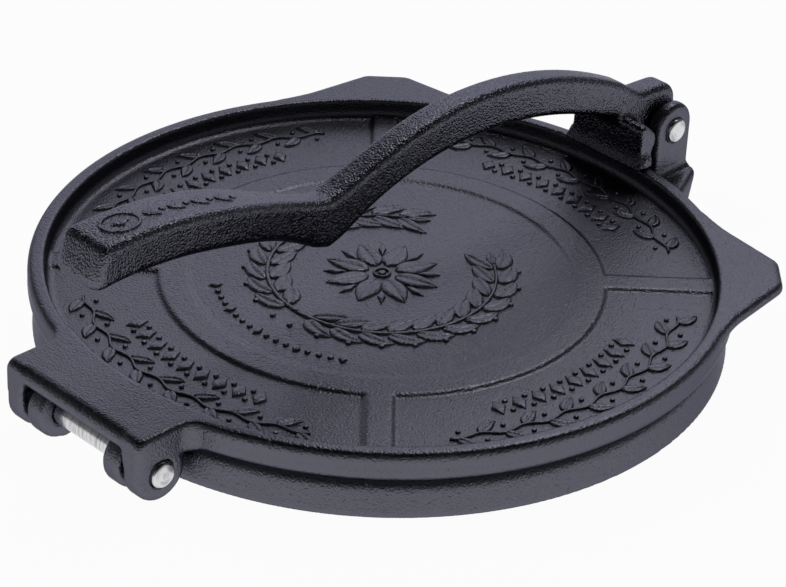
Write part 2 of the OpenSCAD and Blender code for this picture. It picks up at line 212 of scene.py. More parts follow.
@dataclass
class Block:
    """A block of space, cut into small cubes, in which one casting's shape is worked out."""

    low: tuple[float, float, float]
    high: tuple[float, float, float]
    pitch: float

    def __post_init__(self) -> None:
        """Lays out the three axes of the block, a little wider than asked."""
        spare = 3 * self.pitch
        lines = [
            np.arange(a - spare, b + spare, self.pitch, dtype=np.float32)
            for a, b in zip(self.low, self.high)
        ]
        self.start = np.array([line[0] for line in lines])
        self.x = lines[0][:, None, None]
        self.y = lines[1][None, :, None]
        self.z = lines[2][None, None, :]
        self.plan = (self.x[:, :, 0], self.y[:, :, 0])

    def turned(self, outline: Sequence[Point]) -> Field:
        """Turns an outline of radius and height about the Z axis.

        Args:
            outline: Corners of half the section, as radius and height.

        Returns:
            The distance field of the turned solid.
        """
        radius = np.hypot(*self.plan)
        step = self.pitch / 2
        radii = np.arange(0, radius.max() + 2 * step, step, dtype=np.float32)
        section = outline_distance(radii[:, None], self.z[0], outline)
        place = radius / step
        index = np.minimum(place.astype(int), len(radii) - 2)
        share = (place - index)[:, :, None].astype(np.float32)
        return section[index] * (1 - share) + section[index + 1] * share

    def bar(self, x: float, z: float, radius: float) -> Field:
        """Gives the field of an endless round bar along Y."""
        return np.hypot(self.x - x, self.z - z) - radius

    def profile(self, corners: Sequence[Corner], x: float = 0.0, z: float = 0.0) -> Field:
        """Gives the field of an outline that runs endlessly along Y, its corners counted from x and z."""
        return outline_distance(self.x - x, self.z - z, rounded_outline(corners))

    def spokes(self, turns: Sequence[float], half: float, inner: float, outer: float) -> Field:
        """Gives the field of endlessly tall slabs that run outwards in plan.

        Args:
            turns: Their directions, in degrees from +X.
            half: Half their width.
            inner: How far from the centre they start.
            outer: How far from the centre they end.

        Returns:
            The distance field of all of them.
        """
        shape = np.full((self.x.size, self.y.size), FAR, np.float32)
        for turn in turns:
            along, across = turned_axes(*self.plan, turn)
            ends = np.maximum(inner - along, along - outer)
            shape = np.minimum(shape, np.maximum(np.abs(across) - half, ends))
        return shape[:, :, None]

    def pair(self, inner: float, outer: float) -> Field:
        """Gives the field of two endless slabs across Y, one on each side of the middle."""
        half = (outer - inner) / 2
        return np.abs(np.abs(self.y) - inner - half) - half

    def mesh(self, field: Field) -> tuple[np.ndarray, list[list[int]]]:
        """Finds the surface where a field is zero, as one point in each cube that it crosses.

        Args:
            field: Distance field over the whole block.

        Returns:
            The points, in millimetres, and the four-sided faces between them.
        """
        field = np.broadcast_to(field, (self.x.size, self.y.size, self.z.size))
        solid = field < 0
        count = np.zeros([n - 1 for n in field.shape], np.uint8)
        offsets = [(i, j, k) for i in (0, 1) for j in (0, 1) for k in (0, 1)]
        for i, j, k in offsets:
            count += solid[i : i + count.shape[0], j : j + count.shape[1], k : k + count.shape[2]]
        cells = np.argwhere((count > 0) & (count < 8))
        number = np.full(count.shape, -1, np.int32)
        number[tuple(cells.T)] = np.arange(len(cells))
        values = np.stack([field[tuple((cells + o).T)] for o in offsets], 1).astype(np.float64)
        total = np.zeros((len(cells), 3))
        crossings = np.zeros(len(cells))
        for a, oa in enumerate(offsets):
            for b, ob in enumerate(offsets):
                if b <= a or sum(abs(p - q) for p, q in zip(oa, ob)) != 1:
                    continue
                change = (values[:, a] < 0) != (values[:, b] < 0)
                span = np.where(change, values[:, a] - values[:, b], 1)
                t = np.where(change, values[:, a] / span, 0)[:, None]
                total += change[:, None] * (np.array(oa) + t * (np.array(ob) - np.array(oa)))
                crossings += change
        points = self.start + (cells + total / crossings[:, None]) * self.pitch
        return points, self._faces(solid, number)

    @staticmethod
    def _faces(solid: np.ndarray, number: np.ndarray) -> list[list[int]]:
        """Joins the points of the four cubes around each grid line that enters or leaves the solid.

        Args:
            solid: Whether each grid point lies in the solid.
            number: The number of the point in each cube.

        Returns:
            The faces, each turned outwards.
        """
        faces = []
        for axis in range(3):
            other = [a for a in range(3) if a != axis]
            low = [slice(None)] * 3
            high = [slice(None)] * 3
            low[axis], high[axis] = slice(0, -1), slice(1, None)
            for a in other:
                low[a] = high[a] = slice(1, -1)
            first, second = solid[tuple(low)], solid[tuple(high)]
            for leaving in (True, False):
                spots = np.argwhere(first & ~second if leaving else ~first & second)
                ring = []
                for du, dv in ((0, 0), (1, 0), (1, 1), (0, 1)):
                    spot = spots.copy()
                    spot[:, other[0]] += du
                    spot[:, other[1]] += dv
                    ring.append(number[tuple(spot.T)])
                if leaving == (axis == 1):
                    ring.reverse()
                faces.append(np.stack(ring, 1))
        return np.concatenate(faces).tolist()


# ---------------------------------------------------------------- from fields to Blender


@dataclass(frozen=True)
class Setting:
    """Where the castings stand in the frame, in millimetres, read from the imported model."""

    plates_x: float
    hinge_x: float
    hinge_z: float
    pivot_x: float
    pivot_z: float
    lid_top: float

    @classmethod
    def read(cls, frame: dict) -> "Setting":
        """Reads the joints' places and the lid's height.


        Returns:
            The setting, with hinge_x and pivot_x counted from the centre of the plates.
        """
        joints = {j["name"]: j["pos_m"] for j in frame["record"]["behaviour"]["joints"]}
        hinge, pivot = joints["lid_hinge"], joints["lever_pivot"]
        plates_x = pivot[0] / MM - PIVOT_FROM_PLATES
        return cls(
            plates_x=plates_x,
            hinge_x=hinge[0] / MM - plates_x,
            hinge_z=hinge[2] / MM,
            pivot_x=PIVOT_FROM_PLATES,
            pivot_z=pivot[2] / MM,
            lid_top=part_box("lid")[1][2] / MM,
        )

    def place(self, points: np.ndarray) -> np.ndarray:
        """Turns points about the centre of the plates, in millimetres, into the frame's metres."""
        return (np.asarray(points, float) + [self.plates_x, 0, 0]) * MM


def mesh_object(name: str, points: np.ndarray, faces: Sequence) -> bpy.types.Object:
    """Makes a smoothly shaded Blender object from points and faces.

    Args:
        name: Name of the object and its mesh.
        points: The points, in metres.
        faces: The faces, each a row of point numbers.

    Returns:
        The new object, linked to the scene.
    """
    mesh = bpy.data.meshes.new(name)
    mesh.from_pydata(np.asarray(points).tolist(), [], faces)
    mesh.polygons.foreach_set("use_smooth", [True] * len(mesh.polygons))
    mesh.validate()
    thing = bpy.data.objects.new(name, mesh)
    bpy.context.scene.collection.objects.link(thing)
    return thing


class Slot(Enum):
    """The record's material slots."""

    IRON = "iron"
    STEEL = "steel"


def fit(piece: bpy.types.Object, body: str, finish: Material, node: str = "") -> None:
    """Dresses a piece, puts it on its body and, where it has one, in its node's place.

    Args:
        piece: The piece.
        body: The body that it moves with.
        finish: Its material.
        node: The node that it stands for, or nothing.
    """
    piece.data.materials.clear()
    piece.data.materials.append(finish)
    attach(piece, body)
    if node:
        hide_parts(node)
    LOG.info("%s: %d faces on body %s", piece.name, len(piece.data.polygons), body)


# ---------------------------------------------------------------- finishes


class Graph:
    """The nodes of one material or of the sky, wired in few words."""

    def __init__(self, owner: Material | bpy.types.World) -> None:
        """Starts from the nodes that the owner comes with."""
        owner.use_nodes = True
        self.nodes, self.links = owner.node_tree.nodes, owner.node_tree.links

    def feed(self, node: bpy.types.Node, inputs: Inputs) -> None:
        """Wires each input that is given a socket, and sets each one that is given a value.

        Args:
            node: The node.
            inputs: What goes into its inputs.
        """
        for name, value in inputs.items():
            if isinstance(value, Socket):
                self.links.new(value, node.inputs[name])
            else:
                node.inputs[name].default_value = value

    def add(self, kind: str, inputs: Inputs | None = None, **settings: str) -> bpy.types.Node:
        """Adds a node.

        Args:
            kind: Its type, without the leading ShaderNode.
            inputs: What goes into its inputs.
            settings: The node's own settings, made before its inputs.

        Returns:
            The new node.
        """
        node = self.nodes.new(f"ShaderNode{kind}")
        for name, value in settings.items():
            setattr(node, name, value)
        self.feed(node, inputs or {})
        return node

    def noise(self, place: Socket, size: float, detail: float = 1.0, rough: float = 0.5) -> Socket:
        """Gives noise whose features have a size in millimetres."""
        inputs = {"Vector": place, "Scale": 1 / (size * MM), "Detail": detail, "Roughness": rough}
        return self.add("TexNoise", inputs).outputs["Fac"]

    def blend(self, share: float, a: Socket, b: Socket) -> Socket:
        """Mixes two values, the second by the given share."""
        return self.add("Mix", {"Factor": share, "A": a, "B": b}).outputs["Result"]

    def tint(self, share: Socket, a: Any, b: Any) -> Socket:
        """Mixes two colours, each a socket or a value, the second by the given share."""
        return self.add("Mix", {"Factor": share, "A": a, "B": b}, data_type="RGBA").outputs["Result"]

    def span(self, value: Socket, source: Point, target: Point, shape: str = "LINEAR") -> Socket:
        """Maps a value from one range to another.

        Args:
            value: The value.
            source: Start and end of its own range.
            target: Start and end of the range that it is brought to.
            shape: Blender's name for the way between the two.

        Returns:
            The mapped value.
        """
        ends = dict(zip(("From Min", "From Max", "To Min", "To Max"), (*source, *target)))
        return self.add("MapRange", {"Value": value, **ends}, interpolation_type=shape).outputs["Result"]

    def bump(self, height: Socket, depth: float) -> Socket:
        """Gives the normal of a surface with a height on it, its depth in millimetres."""
        return self.add("Bump", {"Height": height, "Distance": depth * MM}).outputs["Normal"]


def shaded(colour: Colour, shade: float = 1.0) -> tuple[float, ...]:
    """Gives a colour made darker or lighter by a factor, with an alpha of 1."""
    return (*[part * shade for part in colour], 1)


class Grain(Enum):
    """How coarse the sand left a surface: a grain's size and depth, the roughness and the shade."""

    FINE = (0.75, 0.34, 0.36, 1.0)
    COARSE = (0.74, 0.72, 0.26, 0.93)


@dataclass(frozen=True)
class SeasonedIron:
    """Oil-seasoned cast iron: near black, softly glossy, pebbled by the sand of its mould."""

    name: str
    grain: Grain
    colour: Colour = (0.118, 0.118, 0.146)
    worn: Colour = (0.165, 0.165, 0.195)
    grazing: Colour = (0.47, 0.47, 0.52)
    edges: Point = (0.52, 0.66)
    most_worn: float = 0.4
    oil_shades: Point = (0.9, 1.1)
    pebble_detail: float = 0.4
    dimple_grains: float = 4.5
    dimple_share: float = 0.3
    speck_size: float = 1.5
    speck_levels: Point = (0.64, 0.74)
    pit_size: float = 1.9
    pit_levels: Point = (0.36, 0.27)
    flaw_share: float = 0.3
    patch_size: float = 38.0
    patch_detail: float = 3.0
    patch_rough: float = 0.6
    gloss_levels: Point = (0.35, 0.65)
    gloss_spread: Point = (-0.05, 0.07)

    def material(self) -> Material:
        """Builds the node material.

        Returns:
            The material.
        """
        material = bpy.data.materials.new(self.name)
        graph = Graph(material)
        place = graph.add("TexCoord").outputs["Object"]
        size, depth, roughness, shade = self.grain.value
        pebbles = graph.noise(place, size, self.pebble_detail)
        patches = graph.noise(place, self.patch_size, self.patch_detail, self.patch_rough)
        gloss = tuple(roughness + change for change in self.gloss_spread)
        graph.feed(graph.nodes["Principled BSDF"], {
            "Metallic": 1.0,
            "Specular Tint": shaded(self.grazing),
            "Base Color": self.tone(graph, patches, shade),
            "Roughness": graph.span(graph.blend(0.5, patches, pebbles), self.gloss_levels, gloss),
            "Normal": graph.bump(self.height(graph, place, pebbles, size), depth),
        })
        return material

    def height(
        self, graph: Graph, place: Socket, pebbles: Socket, size: float
    ) -> Socket:
        """Heaps up the pebbles, the wider dimples under them, and stray specks and pits.

        Args:
            graph: The material's nodes.
            place: The places on the surface.
            pebbles: The noise that makes the pebbles.
            size: Size of a grain, in millimetres.

        Returns:
            The height over the surface.
        """
        dimples = graph.noise(place, self.dimple_grains * size)
        specks = graph.span(graph.noise(place, self.speck_size), self.speck_levels, (0.0, 1.0))
        pits = graph.span(graph.noise(place, self.pit_size), self.pit_levels, (1.0, 0.0))
        sand = graph.blend(self.dimple_share, pebbles, dimples)
        return graph.blend(self.flaw_share, sand, graph.blend(0.5, specks, pits))

    def tone(self, graph: Graph, patches: Socket, shade: float) -> Socket:
        """Mixes the oil's dark tone with the greyer tone that wear leaves along the edges.

        Args:
            graph: The material's nodes.
            patches: The noise that makes the patches.
            shade: Factor on the tones.

        Returns:
            The mixed colour.
        """
        edges = graph.add("NewGeometry").outputs["Pointiness"]
        wear = graph.span(edges, self.edges, (0.0, self.most_worn))
        oil = graph.tint(patches, *(shaded(self.colour, shade * tone) for tone in self.oil_shades))
        return graph.tint(wear, oil, shaded(self.worn, shade))


@dataclass(frozen=True)
class BrightSteel:
    """Bright turned steel, with fine rings from the lathe and dull patches."""

    name: str = "bright_steel"
    colour: Colour = (0.68, 0.68, 0.70)
    dull_shade: float = 0.62
    dull_levels: Point = (0.4, 0.52)
    roughness: Point = (0.19, 0.32)
    patch_size: float = 6.25
    patch_detail: float = 4.0
    rings_per_patch: float = 14.0
    ring_depth: float = 0.02

    def material(self) -> Material:
        """Builds the node material.

        Returns:
            The material.
        """
        material = bpy.data.materials.new(self.name)
        graph = Graph(material)
        squeeze = {0: graph.add("TexCoord").outputs["Object"], 1: (1, self.rings_per_patch, 1)}
        place = graph.add("VectorMath", squeeze, operation="MULTIPLY").outputs["Vector"]
        marks = graph.noise(place, self.patch_size, self.patch_detail)
        clean = graph.span(marks, self.dull_levels, (0.0, 1.0))
        graph.feed(graph.nodes["Principled BSDF"], {
            "Metallic": 1.0,
            "Base Color": graph.tint(clean, shaded(self.colour, self.dull_shade), shaded(self.colour)),
            "Roughness": graph.span(marks, (0.0, 1.0), self.roughness),
            "Normal": graph.bump(marks, self.ring_depth),
        })
        return material


# ---------------------------------------------------------------- castings


@dataclass
class Base:
    """The base: press plate, hinge lugs, pedestal and the two uprights of the clevis."""

    setting: Setting
    radius: float = 127.8
    lean: float = 2.0
    foot_h: float = 1.3
    foot_w: float = 7.0
    skirt_w: float = 14.0
    press_z: float = 15.7
    plate_t: float = 6.0
    edge_r: float = 5.0
    soft_r: float = 1.2
    skirt_fillet: float = 2.5
    foot_shift: float = 0.8
    rib_h: float = 3.0
    rib_w: float = 5.0
    rib_edge_r: float = 1.0
    rib_fillet: float = 1.5
    rib_cover: float = 1.0
    rib_count: int = 8
    lug_r: float = 10.6
    lug_in: float = 15.8
    lug_out: float = 24.3
    lug_edge_r: float = 1.8
    lug_fillet: float = 2.5
    web_fillet: float = 2.0
    play: float = 0.2
    pedestal_x: float = 157.5
    pedestal_root_w: float = 32.0
    pedestal_end_w: float = 17.5
    pedestal_lean: float = 9.0
    pedestal_face_h: float = 2.0
    pedestal_edge_r: float = 2.4
    pedestal_fillet: float = 3.0
    overrun: float = 8.0
    upright_r: float = 10.0
    upright_rise: float = 0.9
    upright_in: float = 6.4
    upright_out: float = 12.9
    upright_root: float = 6.0
    upright_edge_r: float = 2.3
    upright_fillet: float = 3.0
    # Between these places along X nothing rises above the press face, so that the lid can close.
    flat_from: float = -125.2
    flat_to: float = 133.0
    headroom: float = 11.0
    pitch: float = 0.9

    def plate(self, block: Block) -> Field:
        """Turns the plate with its skirt and foot rim, and adds the ribs underneath.

        Args:
            block: The block in which the shape is worked out.

        Returns:
            Its distance field.
        """
        ceiling = self.press_z - self.plate_t
        skirt_in = self.radius - self.skirt_w
        foot_in = self.radius - (self.skirt_w + self.foot_w) / 2 - self.foot_shift
        foot_out = foot_in + self.foot_w
        soft = self.soft_r
        shape = block.turned(rounded_outline([
            (0, ceiling, 0), (skirt_in, ceiling, self.skirt_fillet), (skirt_in, self.foot_h, soft),
            (foot_in, self.foot_h, soft / 2), (foot_in, 0, soft / 2), (foot_out, 0, soft / 2),
            (foot_out, self.foot_h, soft / 2), (self.radius, self.foot_h, soft),
            (self.radius - self.lean, self.press_z, self.edge_r), (0, self.press_z, 0),
        ]))
        turns = [(i + 0.5) * 360 / self.rib_count for i in range(self.rib_count)]
        ribs = block.spokes(turns, self.rib_w / 2, 0, skirt_in)
        ribs = meet(ribs, ceiling - self.rib_h - block.z, self.rib_edge_r)
        return join(shape, np.maximum(ribs, block.z - self.press_z + self.rib_cover), self.rib_fillet)

    def lugs(self, block: Block) -> Field:
        """Gives both hinge lugs, each a round knuckle on a web from the base's wall.

        Args:
            block: The block in which the shape is worked out.

        Returns:
            Its distance field.
        """
        s = self.setting
        root = self.skirt_w / 2 - self.radius
        web = block.profile([
            (s.hinge_x, self.foot_h, 0), (root, self.foot_h, 0),
            (root, self.press_z, 0), (s.hinge_x, self.press_z, 0),
        ])
        shape = join(block.bar(s.hinge_x, s.hinge_z, self.lug_r), web, self.web_fillet)
        return meet(shape, block.pair(self.lug_in, self.lug_out), self.lug_edge_r)

    def pedestal(self, block: Block) -> Field:
        """Gives the bracket that carries the uprights, with an overrun that build cuts off.

        Args:
            block: The block in which the shape is worked out.

        Returns:
            Its distance field.
        """
        start, root = self.radius - self.skirt_w, self.radius - self.lean
        slope = (self.pedestal_root_w - self.pedestal_end_w) / (self.pedestal_x - root)
        end, end_w = self.pedestal_x + self.overrun, self.pedestal_end_w - slope * self.overrun
        plan = outline_distance(block.x, block.y, [
            (start, -self.pedestal_root_w), (root, -self.pedestal_root_w), (end, -end_w),
            (end, end_w), (root, self.pedestal_root_w), (start, self.pedestal_root_w),
        ])
        side = block.profile([
            (start, self.foot_h, 0), (self.pedestal_x - self.pedestal_lean, self.foot_h, 0),
            (self.pedestal_x, self.press_z - self.pedestal_face_h, 0),
            (self.pedestal_x, self.press_z, 0), (start, self.press_z, 0),
        ])
        return meet(plan, side, self.pedestal_edge_r)

    def uprights(self, block: Block) -> Field:
        """Gives the two round-topped uprights.

        Args:
            block: The block in which the shape is worked out.

        Returns:
            Its distance field.
        """
        s = self.setting
        middle_z = s.pivot_z + self.upright_rise
        stem = np.maximum(np.abs(block.x - s.pivot_x) - self.upright_r, block.z - middle_z)
        stem = np.maximum(stem, self.press_z - self.upright_root - block.z)
        shape = np.minimum(block.bar(s.pivot_x, middle_z, self.upright_r), stem)
        return meet(shape, block.pair(self.upright_in, self.upright_out), self.upright_edge_r)

    def build(self, finish: Material) -> None:
        """Casts the base and dresses it.

        Args:
            finish: The material that it is dressed in.
        """
        s = self.setting
        low = (s.hinge_x - self.lug_r, -self.radius, 0)
        block = Block(low, (self.pedestal_x, self.radius, s.pivot_z + self.headroom), self.pitch)
        shape = join(self.plate(block), self.pedestal(block), self.pedestal_fillet)
        shape = join(shape, self.lugs(block), self.lug_fillet)
        under_lid = np.minimum(block.x - self.flat_from, self.flat_to - block.x)
        shape = np.maximum(shape, np.minimum(block.z - self.press_z, under_lid))
        shape = join(shape, self.uprights(block), self.upright_fillet)
        shape = np.maximum(shape, block.x - self.pedestal_x)
        shape = cut(shape, block.bar(s.hinge_x, s.hinge_z, PIN_R + self.play), BORE_EDGE_R)
        shape = cut(shape, block.bar(s.pivot_x, s.pivot_z, PIN_R), BORE_EDGE_R)
        points, faces = block.mesh(shape)
        points[:, 2] = np.maximum(points[:, 2], 0)
        piece = mesh_object("base_casting", s.place(points), faces)
        fit(piece, "base", finish, "base")


@dataclass
class Lid:
    """The lid: plate with rim and raised ring, two ears and the hinge box."""

    setting: Setting
    radius: float = 129.4
    lean: float = 1.0
    bottom: float = 16.1
    edge_r: float = 4.2
    rim_w: float = 5.5
    rim_out_r: float = 4.0
    rim_in_r: float = 1.0
    wall_lean: float = 0.5
    wall_r: float = 3.4
    panel_z: float = 20.3
    relief_z: float = 21.3
    disc_z: float = 20.7
    disc_r: float = 70.6
    ring_r: float = 82.0
    bar_half: float = 5.0
    bar_lap: float = 2.0
    # How far one form reaches into the next.
    lap: float = 1.0
    ear_turn: float = 45.0
    ear_reach: float = 146.0
    ear_tip_half: float = 8.5
    ear_root_half: float = 41.0
    ear_lap: float = 8.0
    ear_t: float = 5.0
    ear_roundness: float = 0.47
    ear_corner_r: float = 6.0
    ear_side_fillet: float = 4.0
    ear_fillet: float = 1.5
    box_half: float = 35.0
    box_back: float = -100.0
    box_nose_r: float = 4.0
    box_edge_r: float = 3.2
    box_fillet: float = 5.0
    cheek_in: float = 26.3
    cheek_rise: float = 4.0
    cheek_edge_r: float = 2.2
    cheek_fillet: float = 1.5
    knuckle_r: float = 10.6
    knuckle_gap: float = 0.6
    knuckle_edge_r: float = 1.0
    lip_h: float = 6.3
    mouth_corner_r: float = 2.0
    mouth_edge_r: float = 1.6
    pitch: float = 0.8

    @property
    def rim_out(self) -> float:
        """Radius of the rim's outer edge at the top."""
        return self.radius - self.lean

    @property
    def rim_in(self) -> float:
        """Radius of the rim's inner edge at the top."""
        return self.rim_out - self.rim_w

    @property
    def bar_turns(self) -> list[float]:
        """Directions of the four bars between the panels, in degrees from +X."""
        return [self.ear_turn + 90 * i for i in range(4)]

    def plate(self, block: Block) -> Field:
        """Turns the plate with its rim and raised ring, and adds the four bars between its panels.

        Args:
            block: The block in which the shape is worked out.

        Returns:
            Its distance field.
        """
        top = self.setting.lid_top
        step_r = (self.relief_z - self.panel_z) / 2
        shape = block.turned(rounded_outline([
            (0, self.bottom, 0), (self.radius, self.bottom, self.edge_r),
            (self.rim_out, top, self.rim_out_r), (self.rim_in, top, self.rim_in_r),
            (self.rim_in - self.wall_lean, self.panel_z, self.wall_r),
            (self.ring_r, self.panel_z, step_r), (self.ring_r, self.relief_z, step_r),
            (self.disc_r, self.relief_z, step_r / 2), (self.disc_r, self.disc_z, step_r / 2),
            (0, self.disc_z, 0),
        ]))
        bars = block.spokes(self.bar_turns, self.bar_half, self.disc_r + self.bar_lap, self.rim_in)
        levels = np.maximum(block.z - self.relief_z, self.bottom + self.lap - block.z)
        return join(shape, meet(bars, levels, step_r), step_r)

    def face_height(self, x: Field, y: Field) -> Field:
        """Gives the height of the lid's upper face inside the rim: panels, bars, ring and sunk disc.

        Args:
            x: Places along X, from the centre of the plates.
            y: Places along Y.

        Returns:
            The heights.
        """
        radius = np.hypot(x, y)
        raised = soft_step(self.ring_r - radius)
        for turn in self.bar_turns:
            along, across = turned_axes(x, y, turn)
            bar = soft_step(self.bar_half - np.abs(across)) * soft_step(along - self.disc_r)
            raised = np.maximum(raised, bar)
        sunk = (self.relief_z - self.disc_z) * soft_step(self.disc_r - radius)
        return self.panel_z + (self.relief_z - self.panel_z) * raised - sunk

    def past_rim(self, block: Block, shape: Field) -> Field:
        """Keeps what lies outside the rim's inner edge, so that nothing reaches into the dish."""
        return np.maximum(shape, self.rim_in + self.lap - np.hypot(block.x, block.y))

    def ears(self, block: Block) -> Field:
        """Gives both ears, which run out of the rim with soft inner corners.

        Args:
            block: The block in which the shape is worked out.

        Returns:
            Its distance field.
        """
        plan = np.hypot(*block.plan) - self.rim_out
        root = math.sqrt((self.rim_out - self.lap) ** 2 - self.ear_root_half**2)
        outline = rounded_outline([
            (root - self.ear_lap, -self.ear_root_half, 0), (root, -self.ear_root_half, 0),
            (self.ear_reach, -self.ear_tip_half, self.ear_corner_r),
            (self.ear_reach, self.ear_tip_half, self.ear_corner_r),
            (root, self.ear_root_half, 0), (root - self.ear_lap, self.ear_root_half, 0),
        ])
        for turn in (self.ear_turn, -self.ear_turn):
            ear = outline_distance(*turned_axes(*block.plan, turn), outline)
            plan = join(plan, ear, self.ear_side_fillet)
        plate = np.abs(block.z - self.setting.lid_top + self.ear_t / 2) - self.ear_t / 2
        return self.past_rim(block, meet(plan[:, :, None], plate, self.ear_t * self.ear_roundness))

    def hinge_box(self, block: Block) -> Field:
        """Gives the box over the hinge: a roof with a front lip, and a cheek at each side.

        Args:
            block: The block in which the shape is worked out.

        Returns:
            Its distance field.
        """
        s = self.setting
        front, back, top = s.hinge_x - self.knuckle_r, self.box_back, s.lid_top
        nose, cheek_z = (front, top, self.box_nose_r), s.hinge_z + self.cheek_rise
        roof = block.profile([
            (front, self.bottom, 0), nose, (back, top, 0), (back, self.bottom, 0),
        ])
        roof = meet(roof, np.abs(block.y) - self.box_half, self.box_edge_r)
        side = block.profile([
            (front, s.hinge_z, 0), nose, (back, top, 0), (back, cheek_z, 0), (s.hinge_x, cheek_z, 0),
        ])
        cheek = np.minimum(block.bar(s.hinge_x, s.hinge_z, self.knuckle_r), side)
        cheek = meet(cheek, block.pair(self.cheek_in, self.box_half), self.cheek_edge_r)
        mouth = meet(np.abs(block.y) - self.cheek_in, block.z - top + self.lip_h, self.mouth_corner_r)
        roof = cut(roof, np.maximum(mouth, block.x - s.hinge_x), self.mouth_edge_r)
        return self.past_rim(block, np.maximum(join(roof, cheek, self.cheek_fillet), front - block.x))

    def build(self, finish: Material) -> None:
        """Casts the lid and dresses it. Inside the rim, face_height gives the upper face its height.

        Args:
            finish: The material that it is dressed in.
        """
        s = self.setting
        low = (s.hinge_x - self.knuckle_r, -self.radius, s.hinge_z - self.knuckle_r)
        block = Block(low, (self.radius, self.radius, s.lid_top), self.pitch)
        shape = join(self.plate(block), self.ears(block), self.ear_fillet)
        shape = join(shape, self.hinge_box(block), self.box_fillet)
        shape = np.maximum(shape, block.z - s.lid_top)
        swing = block.bar(s.hinge_x, s.hinge_z, self.knuckle_r + self.knuckle_gap)
        shape = cut(shape, np.maximum(swing, np.abs(block.y) - self.cheek_in), self.knuckle_edge_r)
        shape = cut(shape, block.bar(s.hinge_x, s.hinge_z, PIN_R), BORE_EDGE_R)
        points, faces = block.mesh(shape)
        inside = np.hypot(points[:, 0], points[:, 1]) < self.rim_in - 2 * self.wall_r
        face = inside & (points[:, 2] > self.panel_z - self.lap)
        points[face, 2] = self.face_height(points[face, 0], points[face, 1])
        piece = mesh_object("lid_casting", s.place(points), faces)
        fit(piece, "lid", finish, "lid")


